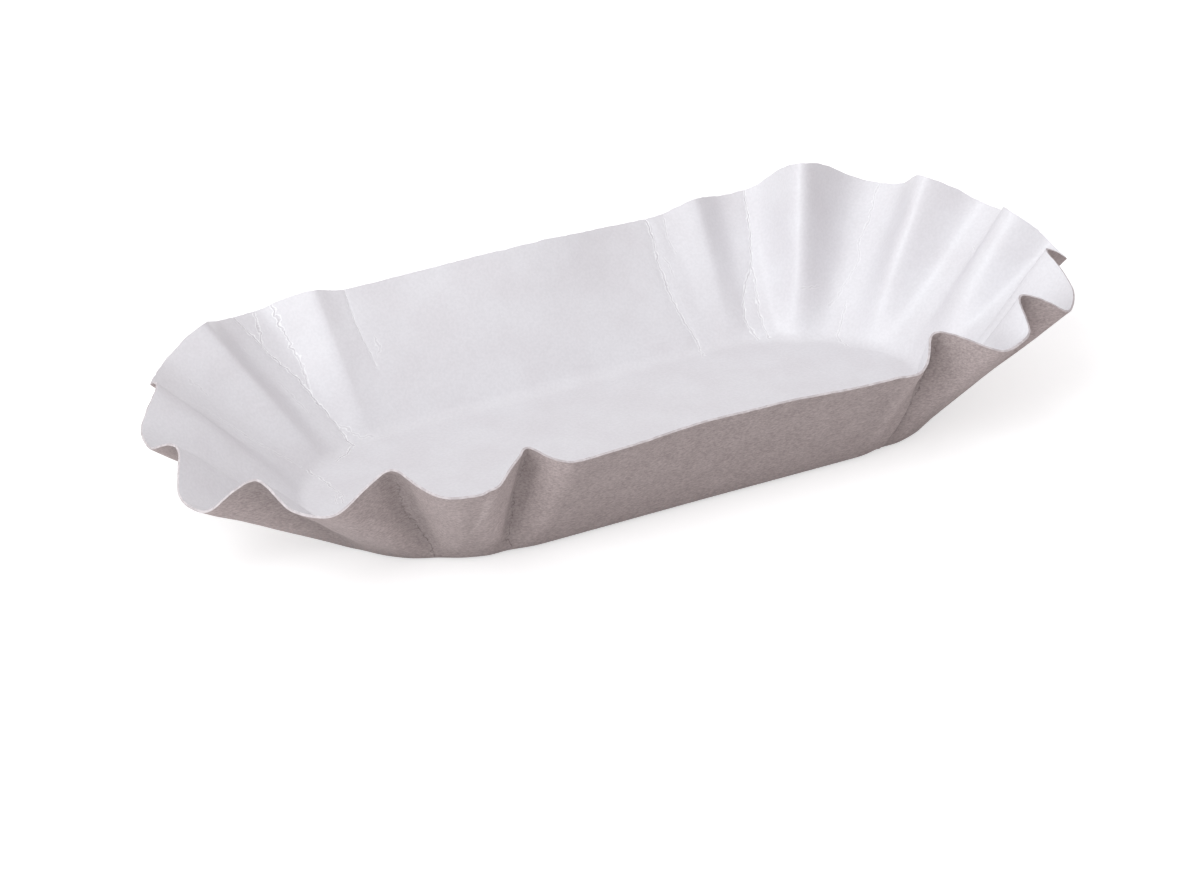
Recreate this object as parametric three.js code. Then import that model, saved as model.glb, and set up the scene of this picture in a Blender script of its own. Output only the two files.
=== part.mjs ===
// Paper food tray, pressed from one flat blank of board: an oval floor, two long plain walls and
// a fan of flutes round each end, where the blank has to gather. One sheet, so one solid.
// Millimetres and degrees, +Z up, +X along the tray, +Y towards the far long wall.
// The origin is the middle of the underside of the floor, which lies flat on the table.
import * as THREE from "three";

// Board, and the bend between floor and wall, measured on the underside
const boardThickness = 0.4;
const footRadius = 4;

// Floor, out to the corner line where the flats of floor and wall would meet
const straightHalfLength = 30.5;
const endDepth = 30.5;
const floorHalfWidth = 25;

// Walls, measured up the slope from the corner line to the cut rim
const sideSlope = 26.5;
const cornerSlope = 31.5;
const endSlope = 32.5;
const farWallRise = 58;
const nearWallRise = 60;

// Folds round each end, in order from the far long wall to the near one. Outward folds and inward
// crests take turns, and both ends start and finish on an outward fold beside a long wall.
// rise is how steep the board stands at the fold, and swing how far the fold has been pushed
// towards the near wall, both as this tray came off its pile.
const rightFolds = {
  rise: [48, 51, 40, 65, 41, 59, 44, 53, 38, 54, 44, 59, 48, 67, 57],
  swing: [-1, -2, 0, 2, 10, 13, 8, -4, -14, -17, -6, -12, -16, -8, 2],
};
const leftFolds = {
  rise: [54, 55, 39, 49, 38, 43, 34, 41, 29, 43, 37, 53, 46, 65, 58],
  swing: [6, -1, 5, 14, 19, 10, 7, -2, -9, -17, -17, -20, -13, -7, -3],
};

// Above 1, the inward crests are tighter than the round outward folds
const crestTightness = 1.6;

// Facets: columns from fold to fold and along each long wall, rings over the bend and the wall
const stepsPerFold = 5;
const stepsPerWall = 12;
const bendSteps = 4;
const wallSteps = 3;
const innerFloorShare = 0.5;

const coatedWhite = new THREE.Color(0xdedce1);
const boardBrown = new THREE.Color(0x968a89);

const { degToRad, lerp, smoothstep } = THREE.MathUtils;
const ease = (share) => smoothstep(share, 0, 1);

// Slope length from a long wall (share 0) over the corner (share 0.5) to the end (share 1).
function slopeAt(share) {
  const cornerBulge = cornerSlope - (sideSlope + endSlope) / 2;
  return lerp(sideSlope, endSlope, share) + cornerBulge * 4 * share * (1 - share);
}

// A column is one line up the sheet: its place on the corner line, the plan direction it leans in,
// its rise and its slope length.
function endColumns(folds, side) {
  const farPoint = Math.PI / 2;
  const nearPoint = farPoint - side * Math.PI;
  const cornerLine = new THREE.EllipseCurve(
    side * straightHalfLength,
    0,
    endDepth,
    floorHalfWidth,
    farPoint,
    nearPoint,
    side > 0,
  );
  const spans = folds.rise.length - 1;
  const columns = [];
  for (let step = 0; step <= spans * stepsPerFold; step++) {
    const fold = Math.min(Math.floor(step / stepsPerFold), spans - 1);
    const share = step / stepsPerFold - fold;
    const along = cornerLine.getTangentAt(step / (spans * stepsPerFold));
    const outward = new THREE.Vector2(-along.y, along.x).multiplyScalar(side);
    const corner = cornerLine.getPointAt(step / (spans * stepsPerFold));
    const endwards = (side * corner.x - straightHalfLength) / endDepth;

    const isOutward = fold % 2 === 0;
    const [outwardRise, crestRise] = isOutward
      ? [folds.rise[fold], folds.rise[fold + 1]]
      : [folds.rise[fold + 1], folds.rise[fold]];
    const towardsCrest = isOutward ? share : 1 - share;
    const crestShare = Math.sin((towardsCrest * Math.PI) / 2) ** (2 * crestTightness);
    const swing = degToRad(lerp(folds.swing[fold], folds.swing[fold + 1], ease(share)));

    columns.push({
      corner,
      lean: outward.multiplyScalar(Math.cos(swing)).addScaledVector(along, Math.sin(swing)),
      rise: degToRad(lerp(outwardRise, crestRise, crestShare)),
      slope: slopeAt(ease(endwards)),
    });
  }
  return columns;
}

// A long wall stands at its own rise in the middle and runs into the outward fold at either end.
function wallColumns(from, to, middleRise) {
  const columns = [];
  for (let step = 1; step < stepsPerWall; step++) {
    const across = step / stepsPerWall;
    const nearest = across < 0.5 ? from : to;
    const fromMiddle = ease(Math.abs(2 * across - 1));
    const swing = Math.asin(nearest.lean.x) * fromMiddle;
    columns.push({
      corner: new THREE.Vector2().lerpVectors(from.corner, to.corner, across),
      lean: new THREE.Vector2(Math.sin(swing), Math.sign(from.corner.y) * Math.cos(swing)),
      rise: lerp(degToRad(middleRise), nearest.rise, fromMiddle),
      slope: sideSlope,
    });
  }
  return columns;
}

// The columns in one loop, clockwise from above, from the right end's first fold.
function trayColumns() {
  const right = endColumns(rightFolds, 1);
  const left = endColumns(leftFolds, -1).reverse();
  return [
    ...right,
    ...wallColumns(right.at(-1), left[0], nearWallRise),
    ...left,
    ...wallColumns(left.at(-1), right[0], farWallRise),
  ];
}

// The underside of one column, from inside the floor, over the bend and up to the rim.
function undersideSection({ corner, lean, rise, slope }) {
  const setback = footRadius * Math.tan(rise / 2);
  const at = (out, height) =>
    new THREE.Vector3(corner.x + lean.x * out, corner.y + lean.y * out, height);
  const bendStart = at(-setback, 0);
  const section = [bendStart.clone().multiplyScalar(innerFloorShare)];
  for (let step = 0; step <= bendSteps; step++) {
    const turned = (rise * step) / bendSteps;
    section.push(at(footRadius * Math.sin(turned) - setback, footRadius * (1 - Math.cos(turned))));
  }
  for (let step = 1; step <= wallSteps; step++) {
    const run = lerp(setback, slope, step / wallSteps);
    section.push(at(run * Math.cos(rise), run * Math.sin(rise)));
  }
  return section;
}

// The board's upper face lies one thickness off the underside, square to the sheet.
function insideSections(underside) {
  const count = underside.length;
  const flatRings = 2;
  return underside.map((section, column) =>
    section.map((point, ring) => {
      const normal = new THREE.Vector3(0, 0, 1);
      if (ring >= flatRings) {
        const before = underside[(column + count - 1) % count][ring];
        const after = underside[(column + 1) % count][ring];
        const lower = section[ring - 1];
        const upper = section[Math.min(ring + 1, section.length - 1)];
        const across = new THREE.Vector3().subVectors(before, after);
        const upwards = new THREE.Vector3().subVectors(upper, lower);
        normal.crossVectors(upwards, across).normalize();
      }
      return point.clone().addScaledVector(normal, boardThickness);
    }),
  );
}

// One closed surface: both faces of the sheet, joined by the cut edge round the rim.
function trayGeometry() {
  const underside = trayColumns().map(undersideSection);
  const inside = insideSections(underside);
  const columns = underside.length;
  const rings = underside[0].length;
  const vertices = [...underside.flat(), ...inside.flat()];
  const undersideAt = (column, ring) => (column % columns) * rings + ring;
  const insideAt = (column, ring) => columns * rings + undersideAt(column, ring);
  const undersideMiddle = vertices.push(new THREE.Vector3(0, 0, 0)) - 1;
  const insideMiddle = vertices.push(new THREE.Vector3(0, 0, boardThickness)) - 1;

  const faces = [];
  const quad = (a, b, c, d) => faces.push(a, b, c, a, c, d);
  for (let column = 0; column < columns; column++) {
    const next = column + 1;
    faces.push(undersideMiddle, undersideAt(column, 0), undersideAt(next, 0));
    faces.push(insideMiddle, insideAt(next, 0), insideAt(column, 0));
    for (let ring = 0; ring < rings - 1; ring++) {
      quad(
        undersideAt(column, ring),
        undersideAt(column, ring + 1),
        undersideAt(next, ring + 1),
        undersideAt(next, ring),
      );
      quad(
        insideAt(column, ring),
        insideAt(next, ring),
        insideAt(next, ring + 1),
        insideAt(column, ring + 1),
      );
    }
    const rim = rings - 1;
    quad(
      undersideAt(column, rim),
      insideAt(column, rim),
      insideAt(next, rim),
      undersideAt(next, rim),
    );
  }

  const isInside = (index) => index === insideMiddle || (index >= columns * rings && index !== undersideMiddle);
  const colours = vertices.flatMap((_, index) => (isInside(index) ? coatedWhite : boardBrown).toArray());
  const geometry = new THREE.BufferGeometry().setFromPoints(vertices);
  geometry.setAttribute("color", new THREE.Float32BufferAttribute(colours, 3));
  geometry.setIndex(faces);
  geometry.computeVertexNormals();
  return geometry;
}

const tray = new THREE.Mesh(
  trayGeometry(),
  new THREE.MeshStandardMaterial({ vertexColors: true, roughness: 0.55, metalness: 0 }),
);
tray.name = "paper_tray";

const part = new THREE.Group();
part.add(tray);

export default part;
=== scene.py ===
# %% [markdown]
# # A pressed paper food tray
#
# The real tray is one flat blank of thin board, white and coated on the side that meets the
# food and bare grey-brown below. A warm die pushes the blank into shape. Along the two long
# sides the board simply bends up. Round the ends there is too much board for the smaller floor,
# so it gathers in flutes: soft crests that stand into the tray, and outward folds between them.
#
# This lesson follows the press. It starts from a flat grid, moves every point to where the die
# takes it, gives the sheet its thickness, and then finishes the two faces and the cut edge.
#
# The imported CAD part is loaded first. It fixes the size and the place of everything.

import math

import bpy
import numpy as np
from mathutils import Matrix, Vector, noise


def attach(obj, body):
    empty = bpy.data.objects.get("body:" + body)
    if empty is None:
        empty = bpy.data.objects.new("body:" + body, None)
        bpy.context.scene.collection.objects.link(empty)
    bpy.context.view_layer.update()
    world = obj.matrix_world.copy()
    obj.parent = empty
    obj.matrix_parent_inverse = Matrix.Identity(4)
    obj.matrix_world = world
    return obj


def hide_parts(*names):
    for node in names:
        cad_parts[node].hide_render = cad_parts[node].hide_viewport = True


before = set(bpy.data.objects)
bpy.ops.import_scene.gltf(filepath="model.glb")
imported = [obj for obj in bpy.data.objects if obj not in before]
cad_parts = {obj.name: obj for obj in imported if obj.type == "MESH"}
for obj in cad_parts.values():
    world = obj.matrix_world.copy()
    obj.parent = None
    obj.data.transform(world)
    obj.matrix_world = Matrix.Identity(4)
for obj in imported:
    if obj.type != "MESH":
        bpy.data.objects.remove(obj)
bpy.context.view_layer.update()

MM = 0.001

# %% [markdown]
# ## The sizes of the sheet
#
# The sheet is described by its corner line, where the flat floor and the flat wall would meet if
# the foot had no radius, and by lines that run straight up the wall from there. These are the
# CAD part's own sizes, in metres. Each end has fifteen folds, outward and inward in turn, from
# the far long wall to the near one. Rise is how steep the board stands at the fold. Swing is
# how far the fold has been pushed round the tray, because these trays are thin and come off
# their pile a little skewed. Keen says how sharply the board turns there, from 0, a soft round
# wave, to 1, a crease.

# %% Sizes of the sheet
BOARD = 0.4 * MM
FOOT_RADIUS = 4 * MM
STRAIGHT_HALF_LENGTH = 30.5 * MM
END_DEPTH = 30.5 * MM
FLOOR_HALF_WIDTH = 25 * MM
SIDE_SLOPE = 26.5 * MM
CORNER_SLOPE = 31.5 * MM
END_SLOPE = 32.5 * MM
FAR_WALL_RISE = 58
NEAR_WALL_RISE = 60
CREST_TIGHTNESS = 1.6

RIGHT_FOLDS = {
    "rise": [48, 51, 40, 65, 41, 59, 44, 53, 38, 54, 44, 59, 48, 67, 57],
    "swing": [-1, -2, 0, 2, 10, 13, 8, -4, -14, -17, -6, -12, -16, -8, 2],
    "keen": [0.3, 0.35, 0.3, 0, 0.2, 0.2, 0.1, 0.2, 0.2, 0.2, 0.4, 0.25, 0.5, 0.2, 1],
}
LEFT_FOLDS = {
    "rise": [54, 55, 39, 49, 38, 43, 34, 41, 29, 43, 37, 53, 46, 65, 58],
    "swing": [6, -1, 5, 14, 19, 10, 7, -2, -9, -17, -17, -20, -13, -7, -3],
    "keen": [0.3, 0.3, 0.55, 0.55, 0.2, 0.3, 0.2, 0.3, 0.2, 0.3, 0.3, 0.25, 0.5, 0.05, 0.3],
}

# %% [markdown]
# ## Columns: one line of the sheet after another
#
# Going round the tray, each column says where it starts on the corner line, which way it leans,
# how steep it stands and how long it is. Between two folds the steepness follows a sine curve
# raised to a power, which keeps the outward folds round and the crests tighter. A keen fold
# blends in a profile with a corner: a crest that comes to a ridge, or an outward fold whose
# panel stays flat and then turns at once. NumPy arrays hold all columns at once, which is
# faster in Python than one column after another.

# %% Corner line of one end
LINE_SAMPLES = 4001


def ease(share):
    """A smooth step from 0 to 1."""
    share = np.clip(share, 0, 1)
    return share * share * (3 - 2 * share)


def corner_line(side, shares):
    """Places on one end's corner line, and its direction there, by share of its length."""
    turn = np.linspace(math.pi / 2, math.pi / 2 - side * math.pi, LINE_SAMPLES)
    line = np.stack(
        [side * STRAIGHT_HALF_LENGTH + END_DEPTH * np.cos(turn), FLOOR_HALF_WIDTH * np.sin(turn)], 1
    )
    length = np.concatenate([[0], np.cumsum(np.linalg.norm(np.diff(line, axis=0), axis=1))])
    at = np.interp(shares * length[-1], length, turn)
    place = np.stack(
        [side * STRAIGHT_HALF_LENGTH + END_DEPTH * np.cos(at), FLOOR_HALF_WIDTH * np.sin(at)], 1
    )
    along = np.stack([END_DEPTH * np.sin(at), -FLOOR_HALF_WIDTH * np.cos(at)], 1) * side
    return place, along / np.linalg.norm(along, axis=1, keepdims=True)


# %% Profile from an outward fold to a crest
TURN_PLACE = 0.36
TURN_ROUNDING = 0.12
KEEN_FOLD_POWER = 1.2
KEEN_CREST_POWER = 2.2


def fold_profile(towards_crest, keen, next_keen, is_outward):
    """How far the board has risen from an outward fold, 0, to an inward crest, 1."""
    soft = np.sin(towards_crest * math.pi / 2) ** (2 * CREST_TIGHTNESS)
    from_turn = (towards_crest - TURN_PLACE) / (1 - TURN_PLACE)
    past_turn = np.clip((from_turn + np.hypot(from_turn, TURN_ROUNDING)) / 2, 0, 1)
    creased_outside = np.sin(past_turn * math.pi / 2) ** KEEN_FOLD_POWER
    to_ridge = np.hypot(1 - towards_crest, TURN_ROUNDING) - TURN_ROUNDING * towards_crest
    creased_crest = np.clip(1 - to_ridge, 0, 1) ** KEEN_CREST_POWER
    keen_outside = np.where(is_outward, keen, next_keen)
    keen_crest = np.where(is_outward, next_keen, keen)
    return soft + keen_outside * (creased_outside - soft) + keen_crest * (creased_crest - soft)


# %% Columns of one end
STEPS_PER_FOLD = 28


def end_columns(folds, side):
    """All columns of one end, from the far long wall to the near one."""
    spans = len(folds["rise"]) - 1
    step = np.arange(spans * STEPS_PER_FOLD + 1)
    fold = np.minimum(step // STEPS_PER_FOLD, spans - 1)
    share = step / STEPS_PER_FOLD - fold
    corner, along = corner_line(side, step / (spans * STEPS_PER_FOLD))
    outward = side * np.stack([-along[:, 1], along[:, 0]], 1)

    rise_list = np.array(folds["rise"], float)
    swing_list = np.array(folds["swing"], float)
    keen_list = np.array(folds["keen"], float)
    is_outward = fold % 2 == 0
    outward_rise = np.where(is_outward, rise_list[fold], rise_list[fold + 1])
    crest_rise = np.where(is_outward, rise_list[fold + 1], rise_list[fold])
    towards_crest = np.where(is_outward, share, 1 - share)
    crest_share = fold_profile(towards_crest, keen_list[fold], keen_list[fold + 1], is_outward)
    rise = np.radians(outward_rise + (crest_rise - outward_rise) * crest_share)
    swing = swing_list[fold] + (swing_list[fold + 1] - swing_list[fold]) * ease(share)
    swing = np.radians(swing)[:, None]

    endwards = ease((side * corner[:, 0] - STRAIGHT_HALF_LENGTH) / END_DEPTH)
    corner_bulge = CORNER_SLOPE - (SIDE_SLOPE + END_SLOPE) / 2
    slope = SIDE_SLOPE + (END_SLOPE - SIDE_SLOPE) * endwards
    slope = slope + corner_bulge * 4 * endwards * (1 - endwards)
    lean = outward * np.cos(swing) + along * np.sin(swing)
    return {"corner": corner, "outward": outward, "lean": lean, "rise": rise, "slope": slope}


# %% [markdown]
# The two long walls fill the gaps between the ends. A wall stands at its own steepness in the
# middle and eases into the outward fold at either corner, so no seam shows there. Then all
# columns are put in one loop round the tray.

# %% Columns of a long wall
STEPS_PER_WALL = 75


def wall_columns(start, stop, middle_rise):
    """A long wall's columns, between the last column of one end and the first of the other."""
    across = np.arange(1, STEPS_PER_WALL)[:, None] / STEPS_PER_WALL
    first_half = across < 0.5
    from_middle = ease(np.abs(2 * across - 1))
    nearest_lean = np.where(first_half, start["lean"], stop["lean"])
    nearest_rise = np.where(first_half[:, 0], start["rise"], stop["rise"])
    swing = np.arcsin(nearest_lean[:, :1]) * from_middle
    side = np.sign(start["corner"][1])
    middle = math.radians(middle_rise)
    count = len(across)
    return {
        "corner": start["corner"] + (stop["corner"] - start["corner"]) * across,
        "outward": np.tile([0.0, side], (count, 1)),
        "lean": np.concatenate([np.sin(swing), side * np.cos(swing)], 1),
        "rise": middle + (nearest_rise - middle) * from_middle[:, 0],
        "slope": np.full(count, SIDE_SLOPE),
    }


# %% All columns in one loop
def one(columns, index):
    """A single column out of a set."""
    return {key: values[index] for key, values in columns.items()}


right_end = end_columns(RIGHT_FOLDS, 1)
left_end = {key: values[::-1] for key, values in end_columns(LEFT_FOLDS, -1).items()}
near_wall = wall_columns(one(right_end, -1), one(left_end, 0), NEAR_WALL_RISE)
far_wall = wall_columns(one(left_end, -1), one(right_end, 0), FAR_WALL_RISE)
loop = [near_wall, left_end, far_wall, right_end]
columns = {key: np.concatenate([part[key] for part in loop]) for key in right_end}
COLUMNS = len(columns["rise"])
print("columns round the tray:", COLUMNS)

# %% [markdown]
# ## Pressing the sheet
#
# Up one column the sheet has three stretches: the flat floor, the bend at the foot and the wall.
# The press function below turns a place on the flat blank into a place on the tray. It also
# keeps the place on the blank, because that becomes the UV map: the grain of the paper and
# every crack in it belong to the flat sheet and travel with it. The rings of the floor stand
# closer together towards the foot, because some cracks run on there.

# %% The press
FLOOR_RINGS = 12
BEND_RINGS = 9
WALL_RINGS = 30
FLOOR_CROWDING = 1.7
FLOOR_SHARES = 1 - np.linspace(1, 0, FLOOR_RINGS + 1) ** FLOOR_CROWDING
RINGS = FLOOR_RINGS + BEND_RINGS + WALL_RINGS


def press():
    """Pressed places and flat places of the underside, by column and ring."""
    corner = columns["corner"][:, None, :]
    outward = columns["outward"][:, None, :]
    lean = columns["lean"][:, None, :]
    rise = columns["rise"][:, None]
    slope = columns["slope"][:, None]
    setback = FOOT_RADIUS * np.tan(rise / 2)

    floor_edge = corner - lean * setback[:, :, None]
    floor = floor_edge * FLOOR_SHARES[None, :, None]
    floor_flat = (corner - outward * setback[:, :, None]) * FLOOR_SHARES[None, :, None]

    turned = rise * (np.arange(1, BEND_RINGS + 1) / BEND_RINGS)[None, :]
    bend_out = FOOT_RADIUS * np.sin(turned) - setback
    bend_up = FOOT_RADIUS * (1 - np.cos(turned))
    run = setback + (slope - setback) * (np.arange(1, WALL_RINGS + 1) / WALL_RINGS)[None, :]
    out = np.concatenate([bend_out, run * np.cos(rise)], 1)
    up = np.concatenate([np.zeros_like(floor[:, :, 0]), bend_up, run * np.sin(rise)], 1)
    bend_travel = FOOT_RADIUS * turned - setback
    wall_travel = FOOT_RADIUS * rise - 2 * setback + run
    travel = np.concatenate([bend_travel, wall_travel], 1)

    plan = np.concatenate([floor, corner + lean * out[:, :, None]], 1)
    flat = np.concatenate([floor_flat, corner + outward * travel[:, :, None]], 1)
    return np.concatenate([plan, up[:, :, None]], 2), flat


pressed, flat = press()
print("pressed grid:", pressed.shape)
rim = pressed[:, -1]
print("rim, mm, from", np.round(rim.min(0) / MM, 2), "to", np.round(rim.max(0) / MM, 2))

# %% [markdown]
# Most later moves of the sheet are small and square to it. The direction comes from the
# neighbours of each place: the cross product of the way round the tray and the way up the wall.
# In the middle of the floor all columns meet, so there it is straight up.

# %% Directions square to the sheet
NO_LENGTH = 1e-12


def sheet_normals(places):
    """The direction square to the sheet at every place, on its inner side."""
    round_the_tray = np.roll(places, -1, 0) - np.roll(places, 1, 0)
    up_the_wall = np.gradient(places, axis=1)
    normal = np.cross(round_the_tray, up_the_wall)
    length = np.linalg.norm(normal, axis=2, keepdims=True)
    normal = np.where(length > NO_LENGTH, normal / np.maximum(length, NO_LENGTH), (0, 0, 1))
    return normal * np.sign(normal[:, 1:2, 2:3])


normals = sheet_normals(pressed)
print("steepest place leans", round(math.degrees(math.acos(normals[:, :, 2].min()))), "degrees")

# %% [markdown]
# ## Cracks and creases
#
# The coating is stiffer than the board. Where an outward fold was pressed too sharp, it has
# cracked from the rim down to the foot, and the board is creased along the same line. The
# cracks wander, fork and stop short, so no formula gives them. Each one is a few points listed
# along the real crack, carried over to the flat blank and joined by straight lines.
#
# A crack is thinner than any face of the mesh. So every point of the mesh only stores how far
# it is from the nearest crack, with a sign for its side. Between two points that number passes
# through zero just where the crack is, and the material can draw it sharply there. Cracks that
# run close together would disturb each other's sign, so they are kept in three sets.

# %% Crack lines on the blank
# Set, strength at the start and at the end, crease depth in mm, places in mm from the middle
CRACKS = [
    (0, 1.0, 0.5, 0.30, [
        (29.7, 53), (29.7, 47), (28.9, 43.3), (28.9, 36.3), (29.8, 30.2), (30.7, 26.8),
        (29.7, 22.6),
    ]),
    (1, 0.7, 0.2, 0.10, [(34.2, 53), (32.9, 46.3), (33.5, 43.2)]),
    (2, 0.6, 0.2, 0.05, [(30.4, 43.6), (31.2, 41.2), (30.9, 39)]),
    (0, 1.0, 0.7, 0.30, [
        (55.2, 54), (50.8, 42.6), (48.2, 37.8), (45.4, 34.7), (42.6, 30.9), (41.2, 27.5),
        (42.1, 23.2),
    ]),
    (1, 0.8, 0.6, 0.20, [(48.1, 37.2), (46.5, 32.7), (44.9, 29), (44.1, 25.5), (43.8, 22.6)]),
    (0, 0.5, 0.25, 0.12, [
        (75.5, 41), (69.7, 34.3), (66.8, 32.1), (64.6, 28), (61.3, 26), (55.6, 22.6),
    ]),
    (1, 0.5, 0.5, 0.10, [(58.9, 22), (54.5, 16.6), (54.7, 12.2)]),
    (2, 0.5, 0.3, 0.05, [(53.3, 27.8), (56.3, 26.7)]),
    (0, 1.0, 1.0, 0.30, [
        (-54.6, 52.4), (-50.3, 45.1), (-49.8, 43.5), (-47.8, 40.1), (-46, 37.4), (-44.6, 33.4),
        (-42.5, 28), (-41.9, 25.5), (-41.5, 23.3), (-43.8, 21.2), (-46.9, 19.5),
    ]),
    (1, 0.9, 0.2, 0.10, [(-42.4, 27.9), (-41.3, 27.4), (-39.1, 24.8), (-34, 23.3)]),
    (1, 0.8, 0.8, 0.10, [(-49.6, 53), (-49.7, 49.4), (-50.2, 45.3)]),
    (2, 0.9, 0.4, 0.15, [
        (-47.3, 53.5), (-46.3, 47.2), (-45.6, 43.2), (-44.8, 40.9), (-44.9, 38.4),
        (-44.8, 34.2),
    ]),
    (0, 0.8, 0.3, 0.20, [
        (-32.1, 53), (-32.4, 47.6), (-32.5, 44.7), (-32, 42.1), (-31.5, 39), (-31.2, 36.5),
    ]),
    (1, 0.5, 0.3, 0.0, [(-29.9, 42), (-29.2, 40), (-30.6, 38.2)]),
    (2, 0.3, 0.3, 0.0, [(-55, 45.8), (-54.5, 44.1)]),
    (2, 0.3, 0.3, 0.0, [(-50.6, 37.7), (-46.9, 30.2)]),
    (0, 0.3, 0.3, 0.0, [(-68.9, 39.9), (-68.2, 38.1)]),
    (1, 0.3, 0.3, 0.0, [(-67.8, 38.4), (-65.9, 35.3)]),
    (0, 0.3, 0.3, 0.0, [(-81.3, 29.5), (-72.6, 34.2)]),
    (2, 0.3, 0.5, 0.0, [(-79, 36.8), (-68, 32.3), (-61.6, 25.7), (-53.8, 19.1)]),
    (1, 0.8, 0.8, 0.1, [(-53.1, 18.5), (-52.1, 15.8), (-51.4, 8.1), (-52.8, 5)]),
    (0, 0.25, 0.1, 0.0, [(41.6, 16.6), (44.1, 7.5), (46.3, -0.8)]),
    (1, 0.4, 0.3, 0.05, [(83.7, 11.6), (81.7, 4.7), (78.7, 1.8)]),
    (0, 0.6, 1.0, -0.22, [(-63.5, -46.2), (-59.3, -36.4), (-55.2, -30.6), (-49.7, -22.5)]),
    (1, 0.5, 0.9, -0.15, [
        (-40.8, -51.5), (-40.4, -46.3), (-40.1, -38.9), (-38.6, -30.7), (-38.5, -27.2),
    ]),
    (2, 0.8, 0.8, -0.10, [(-42.6, -29.1), (-40.1, -28), (-38.3, -27.7), (-37, -25.7)]),
    (1, 0.8, 0.8, -0.08, [(-50.1, -22.6), (-49.2, -21.2), (-46.8, -22.4)]),
    (0, 0.0, 0.0, 0.30, [(36, -48.8), (38.5, -36.7), (37.5, -30.9), (35.8, -25.6)]),
    (0, 0.5, 0.9, -0.20, [(42.6, -51.9), (41.2, -42.6), (39.4, -33.7), (37.5, -24.6)]),
]
print("cracks and creases:", len(CRACKS))

# %% Distance to a line of points
def distance_to_line(places, line):
    """Signed distance of each place to a line, and its share along it, or -1 past an end."""
    nearest = np.full(len(places), np.inf)
    signed = np.full(len(places), np.inf)
    along = np.full(len(places), -1.0)
    spans = len(line) - 1
    for index, (start, stop) in enumerate(zip(line[:-1], line[1:])):
        reach = stop - start
        share = (places - start) @ reach / (reach @ reach)
        kept = np.clip(share, 0, 1)
        offset = places - start - kept[:, None] * reach
        distance = np.linalg.norm(offset, axis=1)
        side = np.sign(reach[0] * offset[:, 1] - reach[1] * offset[:, 0])
        past_end = (index == 0) & (share < 0) | (index == spans - 1) & (share > 1)
        closer = distance < nearest
        nearest = np.where(closer, distance, nearest)
        signed = np.where(closer, distance * np.where(side == 0, 1, side), signed)
        along = np.where(closer, np.where(past_end, -1, (index + kept) / spans), along)
    return signed, along


# %% [markdown]
# A crack's strength runs evenly from its start to its end, and it fades out beside the crack, so
# that nothing is drawn where the nearest crack is another one of the same set. The crease is a
# narrow valley along the same line, seen from inside the tray, or a ridge where its depth is
# below 0. It is pressed into the sheet further on.

# %% Measure every place against the cracks
CRACK_REACH = 3 * MM
CRACK_FULL = 1.2 * MM
CRACK_FADE = 0.9 * MM
CREASE_WIDTH = 0.9 * MM
CRACK_SETS = 3

crack_distance = np.full(flat.shape[:2] + (CRACK_SETS,), CRACK_REACH)
crack_strength = np.zeros_like(crack_distance)
crease = np.zeros(flat.shape[:2])
for group, strong, weak, depth, line in CRACKS:
    signed, along = distance_to_line(flat.reshape(-1, 2), np.array(line, float) * MM)
    signed, along = signed.reshape(crease.shape), along.reshape(crease.shape)
    near = np.abs(signed) < np.abs(crack_distance[:, :, group])
    near &= np.abs(signed) < CRACK_REACH
    strength = (strong + (weak - strong) * along) * (along >= 0)
    strength = strength * (1 - ease((np.abs(signed) - CRACK_FULL) / CRACK_FADE))
    crack_distance[:, :, group] = np.where(near, signed, crack_distance[:, :, group])
    crack_strength[:, :, group] = np.where(near, strength, crack_strength[:, :, group])
    crease += depth * MM * (along >= 0) * np.exp(-np.abs(signed) / CREASE_WIDTH)
print("places near a crack:", int((crack_strength.max(2) > 0).sum()))

# %% [markdown]
# ## Folded edges
#
# At three places by its corners the near wall was folded harder, so the board turns there at an
# edge. An edge is a low roof along a line on the blank: highest on the line, straight down to
# both sides, and only its top a little rounded. A height below 0 makes a valley.

# %% Folded edges
# Height outwards and half width in mm, places in mm from the middle of the blank
FOLD_EDGES = [
    (1.0, 6.0, [(36, -53), (38.5, -36.7), (37.5, -30.9), (34, -20)]),
    (-0.8, 6.0, [(44, -56), (44.5, -37), (43, -31), (39, -20)]),
    (-0.5, 3.5, [(-66, -53), (-59.3, -36.4), (-55.2, -30.6), (-48, -20)]),
    (0.35, 2.0, [(-43.8, -56), (-42.6, -38.9), (-40.6, -28), (-39.5, -20)]),
    (-0.45, 2.5, [(-40.8, -56), (-40.4, -46.3), (-40.1, -38.9), (-38, -20)]),
]
EDGE_ROUNDING = 0.3 * MM

fold_edge = np.zeros(flat.shape[:2])
for height, half_width, line in FOLD_EDGES:
    signed, along = distance_to_line(flat.reshape(-1, 2), np.array(line, float) * MM)
    away = np.hypot(signed, EDGE_ROUNDING).reshape(fold_edge.shape)
    along = along.reshape(fold_edge.shape)
    fold_edge += height * MM * np.clip(1 - away / (half_width * MM), 0, 1) * (along >= 0)
print("folded edges, mm:", np.round([fold_edge.min() / MM, fold_edge.max() / MM], 2))

# %% [markdown]
# ## A dent
#
# One outward fold near the left corner was knocked in and kept a flat three-cornered facet. Two
# sides bound it, each with its own slope into the dent, and the rim is its third side. The lower
# of the two slopes holds at every place, which makes the facet without any extra points.

# %% Dent near the left corner
DENT_SLOPES = [0.13, 0.6]
DENT_SIDES = [[(-55.5, -51), (-47.5, -34.4)], [(-47.3, -34.4), (-47.3, -50)]]
DENT_DEPTH = 0.8 * MM
DENT_FOOT = -34 * MM

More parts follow.
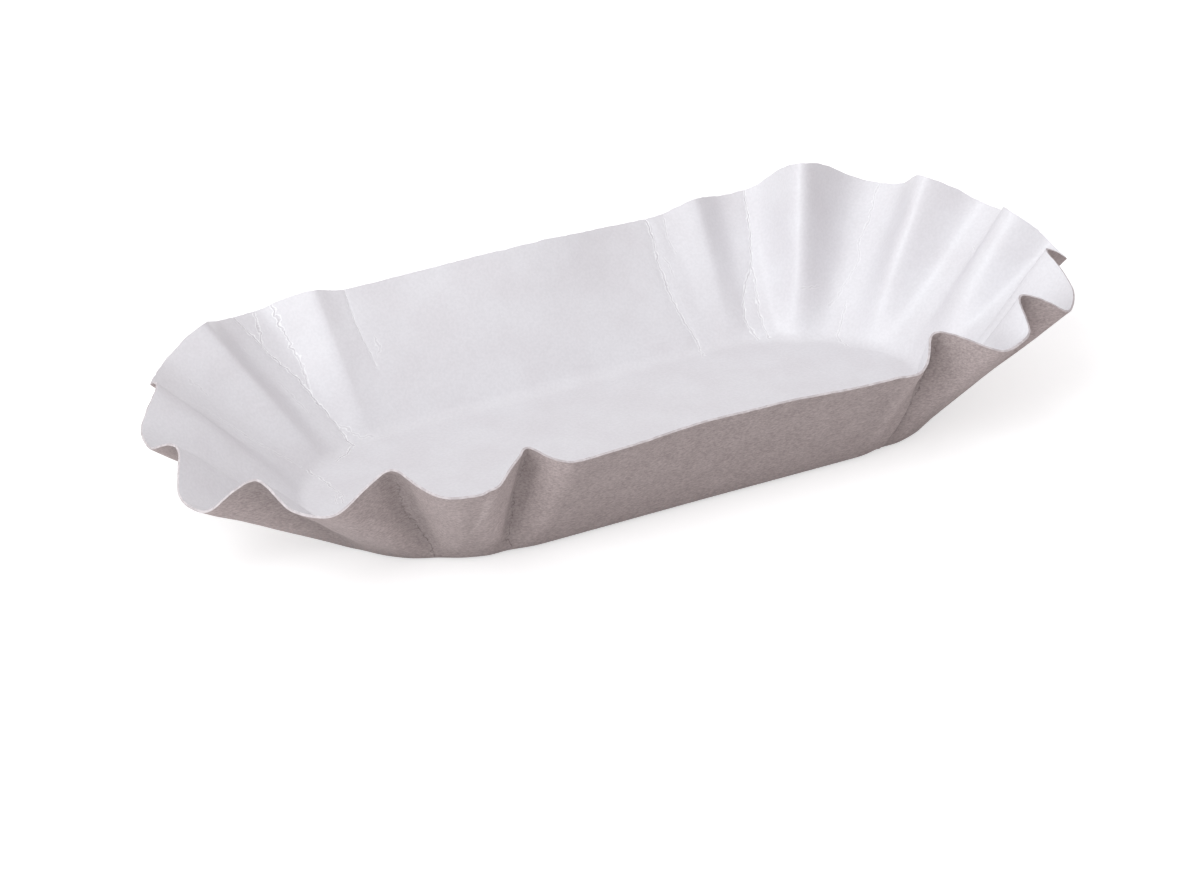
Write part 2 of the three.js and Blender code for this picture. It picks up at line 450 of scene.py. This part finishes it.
into_dent = np.full(flat.shape[:2], np.inf)
for side, steepness in zip(DENT_SIDES, DENT_SLOPES):
    start, stop = np.array(side) * MM
    reach = (stop - start) / np.linalg.norm(stop - start)
    across = reach[0] * (flat[:, :, 1] - start[1]) - reach[1] * (flat[:, :, 0] - start[0])
    into_dent = np.minimum(into_dent, -across * steepness)
dent = np.clip(into_dent, 0, DENT_DEPTH) * (flat[:, :, 1] < DENT_FOOT)
print("places in the dent:", int((dent > 0).sum()))

# %% [markdown]
# ## The sheet is never quite true
#
# A thin tray that has been stacked and handled is not as even as its die. The long walls bow a
# little, and each panel has slow hollows and swellings. Noise over the flat blank gives both.
# Together with the creases, the folded edges and the dent they are one small move square to the
# sheet. Hollows, creases and edges fade out towards the foot, each from its own height, because
# the bend is stiff.

# %% Move the sheet square to itself
HOLLOW = 0.28 * MM
HOLLOW_SIZE = 11 * MM
HOLLOW_SEED = 3.1
RIPPLE = 0.05 * MM
RIPPLE_SIZE = 3.2 * MM
RIPPLE_SEED = 7.7
FULL_HOLLOW_HEIGHT = 14 * MM
FULL_CREASE_HEIGHT = 2 * MM
FULL_EDGE_HEIGHT = 8 * MM


def slow_noise(places, size, seed):
    """Smooth noise from about -1 to 1 over the flat blank."""
    flat_places = places.reshape(-1, 2) / size
    values = [noise.noise(Vector((x, y, seed))) for x, y in flat_places]
    return np.array(values).reshape(places.shape[:2])


height_share = ease(pressed[:, :, 2] / FULL_HOLLOW_HEIGHT)
hollows = HOLLOW * slow_noise(flat, HOLLOW_SIZE, HOLLOW_SEED)
hollows = hollows + RIPPLE * slow_noise(flat, RIPPLE_SIZE, RIPPLE_SEED)
lift_off = ease(pressed[:, :, 2] / FULL_CREASE_HEIGHT)
off_foot = ease(pressed[:, :, 2] / FULL_EDGE_HEIGHT)
move = hollows * height_share - crease * lift_off - fold_edge * off_foot + dent
pressed = pressed + normals * move[:, :, None]
print("largest move square to the sheet, mm:", round(float(np.abs(move).max() / MM), 2))

# %% [markdown]
# ## Where the sheet bulges
#
# The bare board gets painted light on outward folds and painted shade in grooves. How far a place
# bulges out is how far it stands off the middle between two neighbours, a few columns away on
# either side.
# It is measured here, while the sheet is still one tidy grid.

# %% Painted fold shading
TONE_REACH = 9
TONE_RADIUS = 7 * MM

next_over, last_over = np.roll(pressed, -TONE_REACH, 0), np.roll(pressed, TONE_REACH, 0)
spread = np.maximum(np.linalg.norm(next_over - last_over, axis=2) / 2, MM)
bulge = np.sum((next_over + last_over - 2 * pressed) * normals, axis=2) / spread**2
# Painted light and shade for the bare board: above 0 on outward folds, below 0 in grooves.
painted_fold_shading = np.clip(bulge * TONE_RADIUS, -1, 1) * off_foot
print("fold tone from", round(float(painted_fold_shading.min()), 2), "to", round(float(painted_fold_shading.max()), 2))

# %% [markdown]
# ## The cut rim
#
# The knife leaves a rim that wanders by a hair, some of it fine and frayed and some of it slow.
# Only the last ring moves, along the wall and not across it, so the wall keeps its shape.

# %% Wandering rim
RIM_WANDER = 0.12 * MM
FRAY_SIZE = 1.1 * MM
FRAY_SEED = 5.5
SWAY_SIZE = 7 * MM
SWAY_SEED = 1.5

rim_step = pressed[:, -1] - pressed[:, -2]
rim_way = rim_step / np.linalg.norm(rim_step, axis=1, keepdims=True)
fray = slow_noise(flat[:, -1:], FRAY_SIZE, FRAY_SEED)[:, 0]
sway = slow_noise(flat[:, -1:], SWAY_SIZE, SWAY_SEED)[:, 0]
rim_move = RIM_WANDER * (fray + sway)
pressed[:, -1] += rim_way * rim_move[:, None]
print("rim wanders, mm:", np.round([rim_move.min() / MM, rim_move.max() / MM], 2))

# %% [markdown]
# ## The blank
#
# The blank is a grid primitive with one row per ring and one column per line of the sheet. Its
# two side edges meet when it is pressed round the tray, and its lowest row shrinks to the
# middle of the floor, so doubles are merged afterwards. The press is one write of all places.

# %% Add the blank and press it
bpy.ops.object.select_all(action="DESELECT")
bpy.ops.mesh.primitive_grid_add(
    x_subdivisions=COLUMNS, y_subdivisions=RINGS, size=1, calc_uvs=True, location=(0, 0, 0)
)
tray = bpy.context.object
tray.name = tray.data.name = "pressed_tray"
mesh = tray.data

grid = np.zeros(len(mesh.vertices) * 3, np.float32)
mesh.vertices.foreach_get("co", grid)
grid = grid.reshape(-1, 3)
column_of = np.rint((grid[:, 0] + 0.5) * COLUMNS).astype(int) % COLUMNS
ring_of = np.rint((grid[:, 1] + 0.5) * RINGS).astype(int)
mesh.vertices.foreach_set("co", pressed[column_of, ring_of].astype(np.float32).ravel())
mesh.update()
print("blank:", len(mesh.vertices), "points")

# %% [markdown]
# The UV map is the flat blank itself, shrunk to fit the unit square. The distances to the cracks,
# their strength and the painted fold shading go on the points as attributes, for the finishes to
# read.

# %% Map the blank and store what the finishes need
BLANK_REACH = 200 * MM

loop_vertex = np.zeros(len(mesh.loops), np.int32)
mesh.loops.foreach_get("vertex_index", loop_vertex)
blank_uv = flat[column_of, ring_of] / BLANK_REACH + 0.5
blank_map = mesh.uv_layers.active
blank_map.name = "blank"
blank_map.data.foreach_set("uv", blank_uv[loop_vertex].astype(np.float32).ravel())


def store(name, values):
    """Keeps three numbers per point on the mesh."""
    attribute = mesh.attributes.new(name, "FLOAT_VECTOR", "POINT")
    on_points = values[column_of, ring_of]
    attribute.data.foreach_set("vector", on_points.astype(np.float32).ravel())


store("crack_distance", crack_distance / MM)
store("crack_strength", crack_strength)
store("painted_fold_shading", np.repeat(painted_fold_shading[:, :, None], 3, axis=2))
print("attributes on the mesh:", len(mesh.attributes))

# %% [markdown]
# Where the two side edges meet, and in the middle of the floor, many points share one place.
# They become one point, and all faces are turned to look out of the sheet on its lower side.

# %% Close the seam
SAME_PLACE = 0.002 * MM

bpy.ops.object.mode_set(mode="EDIT")
bpy.ops.mesh.select_all(action="SELECT")
bpy.ops.mesh.remove_doubles(threshold=SAME_PLACE)
bpy.ops.mesh.normals_make_consistent(inside=False)
bpy.ops.object.mode_set(mode="OBJECT")
print("sheet:", len(mesh.vertices), "vertices,", len(mesh.polygons), "faces")
middle_face = min(mesh.polygons, key=lambda face: face.center.length)
print("floor normal:", [round(v, 2) for v in middle_face.normal])

# %% [markdown]
# ## Thickness and the cut edge
#
# Solidify gives the sheet its board. The pressed sheet is the underside and its normals point
# out of the tray, so the thickness goes against them, up and inwards. The material offsets give
# the other face and the rim their own slots: bare board outside, coating inside and a cut edge
# between them. Folds stay smooth. The cut edge is sharper than the smoothing angle, so it shows.

# %% Give the sheet its thickness
SMOOTH_BELOW = 50


def finish_slot(name):
    """An empty material in the tray's next slot."""
    material = bpy.data.materials.new(name)
    material.use_nodes = True
    tray.data.materials.append(material)
    return material


bare_board = finish_slot("bare_board")
coated_face = finish_slot("coated_face")
cut_edge = finish_slot("cut_edge")

thickness = tray.modifiers.new("board", "SOLIDIFY")
thickness.thickness = BOARD
thickness.offset = -1
thickness.use_rim = True
thickness.material_offset = 1
thickness.material_offset_rim = 2
bpy.ops.object.modifier_apply(modifier=thickness.name)
bpy.ops.object.shade_smooth_by_angle(angle=math.radians(SMOOTH_BELOW))

mesh = tray.data
for slot, material in enumerate(mesh.materials):
    heights = [face.center.z / MM for face in mesh.polygons if face.material_index == slot]
    print(material.name, len(heights), "faces, mean height, mm:", round(np.mean(heights), 1))
print("triangles:", sum(len(face.vertices) - 2 for face in mesh.polygons))

# %% [markdown]
# ## Helpers for the finishes
#
# Every finish is a principled shader with a few nodes in front of it: noise for the grain, a
# soft step that turns noise into patches, mixes of colours, and bumps for the relief. Short
# helpers add and join the nodes, so that a finish below reads as a list of what is on the board.

# %% Helpers for nodes
WHITE = (1, 1, 1, 1)


def shader(material):
    """The material's main shader node."""
    return material.node_tree.nodes["Principled BSDF"]


def from_screen(red, green, blue):
    """A colour as seen on screen, 0 to 255, turned into Blender's linear values."""

    def channel(value):
        value /= 255
        return value / 12.92 if value <= 0.04045 else ((value + 0.055) / 1.055) ** 2.4

    return (channel(red), channel(green), channel(blue), 1)


def add_node(material, kind, settings=None, **inputs):
    """A new node. An input is given by its name, or by its number as _0, _1 and so on, and
    takes a number, a colour or another node's output socket."""
    node = material.node_tree.nodes.new(kind)
    for name, value in (settings or {}).items():
        setattr(node, name, value)
    for name, value in inputs.items():
        key = int(name[1:]) if name[0] == "_" and name[1:].isdigit() else name.replace("_", " ")
        if isinstance(value, bpy.types.NodeSocket):
            material.node_tree.links.new(value, node.inputs[key])
        else:
            node.inputs[key].default_value = value
    return node


def maths(material, operation, a, b):
    """One sum, product or the like of two numbers."""
    return add_node(material, "ShaderNodeMath", {"operation": operation}, _0=a, _1=b).outputs[0]


def vector_maths(material, operation, a, b=(0, 0, 0)):
    """The same for three numbers at once."""
    node = add_node(material, "ShaderNodeVectorMath", {"operation": operation}, _0=a, _1=b)
    return node.outputs["Value" if operation == "DOT_PRODUCT" else "Vector"]


# %% Helpers for grain, colour and relief
def grain(material, size, detail=3, stretch=(1, 1, 1)):
    """Noise on the tray's own coordinates. Size is the width of one fleck in metres."""
    place = add_node(material, "ShaderNodeTexCoord").outputs["Object"]
    turned = add_node(material, "ShaderNodeMapping", Vector=place, Scale=stretch).outputs[0]
    return add_node(material, "ShaderNodeTexNoise", Vector=turned, Scale=1 / size, Detail=detail)


def soft_range(material, value, start, stop, low=0.0, high=1.0):
    """A smooth step from low to high while the value goes from start to stop."""
    settings = {"interpolation_type": "SMOOTHSTEP"}
    limits = {"_1": start, "_2": stop, "_3": low, "_4": high}
    return add_node(material, "ShaderNodeMapRange", settings, _0=value, **limits).outputs[0]


def mix_colours(material, share, first, second, blend="MIX"):
    """The first colour at share 0 and the second, or its blend, at share 1."""
    settings = {"data_type": "RGBA", "blend_type": blend}
    return add_node(material, "ShaderNodeMix", settings, _0=share, _6=first, _7=second).outputs[2]


def relief(material, height, distance, **more):
    """A bump as deep as the distance. With Normal it lies on top of another one."""
    return add_node(material, "ShaderNodeBump", Height=height, Distance=distance, **more)


def dress(material, colour, bump, roughness):
    """Joins colour and relief to the main shader."""
    main = shader(material)
    material.node_tree.links.new(colour, main.inputs["Base Color"])
    material.node_tree.links.new(bump.outputs[0], main.inputs["Normal"])
    main.inputs["Roughness"].default_value = roughness
    print(material.name, "has", len(material.node_tree.nodes), "nodes")


# %% [markdown]
# ## The crack pattern
#
# The numbers stored on the mesh say how far a place is from a crack. A little noise added to
# them makes the line ragged. Where the sum is near 0 the coating is split, and where it is near
# a fixed distance on either side a fine lip stands up. The split is broken up along its length,
# as a torn coating is. All three sets of cracks are worked out at once, as one vector.

# %% Crack pattern
# Across a crack, in mm
CRACK_WANDER = 0.8
CRACK_HALF_WIDTH = 0.13
LIP_PLACE = 0.22

RAGGED_SIZE = 1.3 * MM
BREAK_SIZE = 0.8 * MM
BREAKS = (0.35, 0.6, 0.35, 1)


def crack_pattern(material):
    """How much of a split, and how much of its raised lip, is at each place."""
    distance = add_node(material, "ShaderNodeAttribute", {"attribute_name": "crack_distance"})
    strength = add_node(material, "ShaderNodeAttribute", {"attribute_name": "crack_strength"})
    ragged = grain(material, RAGGED_SIZE).outputs["Color"]
    centred = vector_maths(material, "SUBTRACT", ragged, (0.5, 0.5, 0.5))
    shift = vector_maths(material, "MULTIPLY", centred, (CRACK_WANDER * 2,) * 3)
    moved = vector_maths(material, "ADD", distance.outputs["Vector"], shift)

    def line(place):
        """A soft line at this distance from the cracks, as strong as they are there."""
        offset = vector_maths(material, "SUBTRACT", moved, (place,) * 3)
        band = add_node(
            material,
            "ShaderNodeMapRange",
            {"data_type": "FLOAT_VECTOR", "interpolation_type": "SMOOTHSTEP"},
            Vector=vector_maths(material, "ABSOLUTE", offset),
            _8=(CRACK_HALF_WIDTH,) * 3,
            _9=(1, 1, 1),
            _10=(0, 0, 0),
        ).outputs["Vector"]
        return vector_maths(material, "DOT_PRODUCT", band, strength.outputs["Vector"])

    broken = soft_range(material, grain(material, BREAK_SIZE, detail=2).outputs["Fac"], *BREAKS)
    lips = maths(material, "MAXIMUM", line(LIP_PLACE), line(-LIP_PLACE))
    return maths(material, "MULTIPLY", line(0), broken), lips


# %% [markdown]
# ## The coated face
#
# The food side carries a thin, half glossy coating over white board. It is nearly even, with a
# faint cloudiness from the board below and a very fine fleck. Where it has cracked there is a
# ragged grey split, with a fine raised lip on both sides that is painted white as a highlight.

# %% Coated face
COAT_DARK = from_screen(222, 220, 223)
COAT_LIGHT = from_screen(226, 225, 228)
COAT_PATCHES = (0.3, 0.7)
CLOUD_SIZE = 9 * MM
FLECK_SIZE = 0.5 * MM
FLECK_SHARE = 0.05
SPLIT_GREY = from_screen(186, 180, 184)
SPLIT_SHARE = 0.6
LIP_HIGHLIGHT_WHITE = from_screen(252, 252, 253)
LIP_HIGHLIGHT_SHARE = 0.9

split, lip = crack_pattern(coated_face)
cloud = grain(coated_face, CLOUD_SIZE, detail=4).outputs["Fac"]
cloud = soft_range(coated_face, cloud, *COAT_PATCHES)
coat = mix_colours(coated_face, cloud, COAT_DARK, COAT_LIGHT)
fleck = soft_range(coated_face, grain(coated_face, FLECK_SIZE).outputs["Fac"], *COAT_PATCHES)
coat = mix_colours(coated_face, FLECK_SHARE, coat, fleck, "MULTIPLY")
split_share = maths(coated_face, "MULTIPLY", split, SPLIT_SHARE)
coat = mix_colours(coated_face, split_share, coat, SPLIT_GREY)
# Painted highlight: the lips are mixed towards white.
lip_highlight_share = maths(coated_face, "MULTIPLY", lip, LIP_HIGHLIGHT_SHARE)
coat = mix_colours(coated_face, lip_highlight_share, coat, LIP_HIGHLIGHT_WHITE)

# %% [markdown]
# The coating is not quite flat either. The grain of the board shows through as a very fine
# relief, a split lies a little deeper and its lips stand up. As geometry this would need far
# more faces, so both are bumps, one on top of the other.

# %% Relief of the coated face
COAT_GRAIN = 0.45 * MM
COAT_RELIEF = 0.02 * MM
CRACK_RELIEF = 0.05 * MM
LIP_HEIGHT = 0.6
COAT_ROUGHNESS = 0.42

coat_grain = grain(coated_face, COAT_GRAIN, detail=4).outputs["Fac"]
coat_bump = relief(coated_face, coat_grain, COAT_RELIEF)
lip_height = maths(coated_face, "MULTIPLY", lip, LIP_HEIGHT)
crack_height = maths(coated_face, "SUBTRACT", lip_height, split)
crack_bump = relief(coated_face, crack_height, CRACK_RELIEF, Normal=coat_bump.outputs[0])
dress(coated_face, coat, crack_bump, COAT_ROUGHNESS)

# %% [markdown]
# ## The bare board
#
# Outside there is no coating. The board is pressed from recycled fibre, grey with a breath of
# brown, and its surface is matt and hairy: short fibres lie mostly along the machine's
# direction, which is along the tray. Two stretched noises of different sizes give the fibres,
# and a round one gives the clots between them. Painted light makes the board a little lighter on
# outward folds, and painted shade makes it darker in the grooves. The lines of the crack table
# show on this side as dark creases of painted shade.

# %% Bare board
FIBRE_SIZE = 0.33 * MM
FIBRE_STRETCH = (0.5, 1, 1.1)
FIBRE_SHARE = 0.55
FINE_FIBRE_SIZE = 0.13 * MM
FINE_FIBRE_STRETCH = (0.6, 1, 1)
FINE_FIBRE_SHARE = 0.3
CLOT_SIZE = 3 * MM
CLOT_SHARE = 0.15
BOARD_PATCHES = (0.34, 0.66)
BOARD_DARK = from_screen(159, 146, 145)
BOARD_LIGHT = from_screen(197, 184, 182)

fibre = grain(bare_board, FIBRE_SIZE, 5, FIBRE_STRETCH).outputs["Fac"]
fine_fibre = grain(bare_board, FINE_FIBRE_SIZE, 3, FINE_FIBRE_STRETCH).outputs["Fac"]
clots = grain(bare_board, CLOT_SIZE, 4).outputs["Fac"]
mottled = maths(
    bare_board,
    "ADD",
    maths(bare_board, "MULTIPLY", fibre, FIBRE_SHARE),
    maths(bare_board, "MULTIPLY", fine_fibre, FINE_FIBRE_SHARE),
)
mottled = maths(bare_board, "ADD", mottled, maths(bare_board, "MULTIPLY", clots, CLOT_SHARE))
patches = soft_range(bare_board, mottled, *BOARD_PATCHES)
board = mix_colours(bare_board, patches, BOARD_DARK, BOARD_LIGHT)

# %% [markdown]
# The painted shade of the creases could be lines of their own. The crack pattern already knows
# where they run and how strong they are, so it is used again, and they lie exactly under the
# splits inside. The painted fold shading then scales the colour, a little up on outward folds and
# down in grooves.

# %% Painted crease shade, painted fold shading and relief of the bare board
CREASE_SHADE_BROWN = from_screen(96, 86, 86)
CREASE_SHARE = 0.7
FOLD_SHADING_CONTRAST = 0.16
FIBRE_RELIEF = 0.06 * MM
BOARD_ROUGHNESS = 0.9

split, _ = crack_pattern(bare_board)
# Painted shade: the board is darkened along each crease.
crease_shade_share = maths(bare_board, "MULTIPLY", split, CREASE_SHARE)
board = mix_colours(bare_board, crease_shade_share, board, CREASE_SHADE_BROWN)
# Painted light and shade: the board's colour is scaled up on outward folds and down in grooves.
tone = add_node(bare_board, "ShaderNodeAttribute", {"attribute_name": "painted_fold_shading"}).outputs["Fac"]
tone = maths(bare_board, "ADD", maths(bare_board, "MULTIPLY", tone, FOLD_SHADING_CONTRAST), 1)
fold_shaded_board = add_node(bare_board, "ShaderNodeVectorMath", {"operation": "SCALE"}, _0=board, _3=tone)

board_bump = relief(bare_board, mottled, FIBRE_RELIEF)
crease_bump = relief(bare_board, split, CRACK_RELIEF, Normal=board_bump.outputs[0])
crease_bump.invert = True
dress(bare_board, fold_shaded_board.outputs["Vector"], crease_bump, BOARD_ROUGHNESS)

# %% [markdown]
# ## The cut edge
#
# The die knife leaves a narrow edge where the pale middle of the board shows, slightly frayed.
# One noise gives both its change of tone and its rough feel.

# %% Cut edge
FRAY_GRAIN = 0.9 * MM
EDGE_PATCHES = (0.35, 0.65)
EDGE_DARK = from_screen(188, 181, 182)
EDGE_LIGHT = from_screen(208, 202, 203)
EDGE_RELIEF = 0.03 * MM
EDGE_ROUGHNESS = 0.95

frayed = grain(cut_edge, FRAY_GRAIN).outputs["Fac"]
patches = soft_range(cut_edge, frayed, *EDGE_PATCHES)
edge = mix_colours(cut_edge, patches, EDGE_DARK, EDGE_LIGHT)
dress(cut_edge, edge, relief(cut_edge, frayed, EDGE_RELIEF), EDGE_ROUGHNESS)

# %% [markdown]
# ## The stage floor
#
# The tray lies on a wide pale floor that takes its shadow. The floor lights the tray only as
# grey paper would, but to the camera, and in a glossy reflection, a glow of its own lifts it
# close to white. It lies a hair below the tray, so that the two never fight for the same place.

# %% Stage floor
FLOOR_SIZE = 6
FLOOR_DROP = 0.02 * MM
FLOOR_GREY = (0.62, 0.62, 0.62, 1)
FLOOR_ROUGHNESS = 0.9
FLOOR_GLOW = 0.6

bpy.ops.object.select_all(action="DESELECT")
bpy.ops.mesh.primitive_plane_add(size=FLOOR_SIZE, location=(0, 0, -FLOOR_DROP))
floor = bpy.context.object
floor.name = "stage_floor"
floor_paint = bpy.data.materials.new("stage_white")
floor_paint.use_nodes = True
floor.data.materials.append(floor_paint)
paint = shader(floor_paint)
paint.inputs["Base Color"].default_value = FLOOR_GREY
paint.inputs["Roughness"].default_value = FLOOR_ROUGHNESS
paint.inputs["Emission Color"].default_value = WHITE
seen = add_node(floor_paint, "ShaderNodeLightPath").outputs
in_view = maths(floor_paint, "MAXIMUM", seen["Is Camera Ray"], seen["Is Glossy Ray"])
glow = maths(floor_paint, "MULTIPLY", in_view, FLOOR_GLOW)
floor_paint.node_tree.links.new(glow, paint.inputs["Emission Strength"])
print("floor:", FLOOR_SIZE, "m wide")

# %% [markdown]
# ## The sky of the studio
#
# A studio has pale walls on all sides. Here the world is one even, very slightly rosy light for
# the tray, and plain white wherever it is seen itself: straight, mirrored or through glass.

# %% Sky
SKY_TINT = (1, 0.955, 0.972, 1)
SKY_STRENGTH = 0.68

world = bpy.data.worlds.new("studio")
bpy.context.scene.world = world
world.use_nodes = True
world.node_tree.nodes.clear()
either = {"operation": "ADD", "use_clamp": True}
seen = add_node(world, "ShaderNodeLightPath").outputs
direct, glossy, through = (seen[f"Is {kind} Ray"] for kind in ("Camera", "Glossy", "Transmission"))
in_view = add_node(world, "ShaderNodeMath", either, _0=direct, _1=glossy).outputs[0]
in_view = add_node(world, "ShaderNodeMath", either, _0=in_view, _1=through).outputs[0]
light_sky = add_node(world, "ShaderNodeBackground", Color=SKY_TINT, Strength=SKY_STRENGTH)
white_sky = add_node(world, "ShaderNodeBackground", Color=WHITE, Strength=1)
skies = {"_1": light_sky.outputs[0], "_2": white_sky.outputs[0]}
mixed = add_node(world, "ShaderNodeMixShader", _0=in_view, **skies)
add_node(world, "ShaderNodeOutputWorld", Surface=mixed.outputs[0])
print("sky strength:", SKY_STRENGTH)

# %% [markdown]
# ## Two softboxes
#
# The light comes from the camera's side, a little to its left. One softbox stands high and gives
# the folds their shading. A weaker one stands low and lights the outside of the near wall. Both
# are very slightly cool, against the rosy sky, and both face the middle of the tray.

# %% Softboxes
SOFTBOX_SIZE = 0.8
SOFTBOX_TINT = (0.94, 0.985, 1)
KEY_PLACE = (-0.95, -0.5, 1.15)
KEY_POWER = 10.7
LOW_PLACE = (-1.2, -0.5, 0.2)
LOW_POWER = 5.7


def softbox(name, place, power):
    """A square lamp that faces the middle of the tray."""
    bpy.ops.object.select_all(action="DESELECT")
    bpy.ops.object.light_add(type="AREA", location=place)
    light = bpy.context.object
    light.name = light.data.name = name
    light.data.shape = "SQUARE"
    light.data.size = SOFTBOX_SIZE
    light.data.energy = power
    light.data.color = SOFTBOX_TINT
    light.rotation_euler = Vector(place).to_track_quat("Z", "Y").to_euler()
    print(name, power, "W")


softbox("key_softbox", KEY_PLACE, KEY_POWER)
softbox("low_side_softbox", LOW_PLACE, LOW_POWER)

# %% [markdown]
# ## The camera
#
# The camera looks down on the tray from the front left, from nearly 0.9 m, with a long lens. Its
# place was found together with the tray's proportions, by laying the sheet over the photo. It
# looks past the middle of the tray by the two aim values, so that the tray sits in the frame as
# in the photo.

# %% Camera
VIEW_AZIMUTH = -30.42
VIEW_ELEVATION = 26.92
VIEW_DISTANCE = 864.83 * MM
AIM_RIGHT = -6.15 * MM
AIM_UP = 0.59 * MM
SENSOR_WIDTH = 36
LENS = 151.83
CLIP_START = 0.01
CLIP_END = 20

azimuth, elevation = math.radians(VIEW_AZIMUTH), math.radians(VIEW_ELEVATION)
back = Vector(
    (
        math.sin(azimuth) * math.cos(elevation),
        -math.cos(azimuth) * math.cos(elevation),
        math.sin(elevation),
    )
)
right = Vector((math.cos(azimuth), math.sin(azimuth), 0))
up = back.cross(right)
aim = right * AIM_RIGHT + up * AIM_UP
bpy.ops.object.select_all(action="DESELECT")
bpy.ops.object.camera_add(location=aim + back * VIEW_DISTANCE)
camera = bpy.context.object
camera.rotation_euler = Matrix((right, up, back)).transposed().to_euler()
camera.data.sensor_width = SENSOR_WIDTH
camera.data.lens = LENS
camera.data.clip_start = CLIP_START
camera.data.clip_end = CLIP_END
bpy.context.scene.camera = camera
bpy.context.scene.view_settings.view_transform = "Standard"
print("camera at", [round(v, 3) for v in camera.location])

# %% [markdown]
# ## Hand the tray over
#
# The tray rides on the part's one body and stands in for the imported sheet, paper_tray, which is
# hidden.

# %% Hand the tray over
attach(tray, "root")
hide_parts("paper_tray")
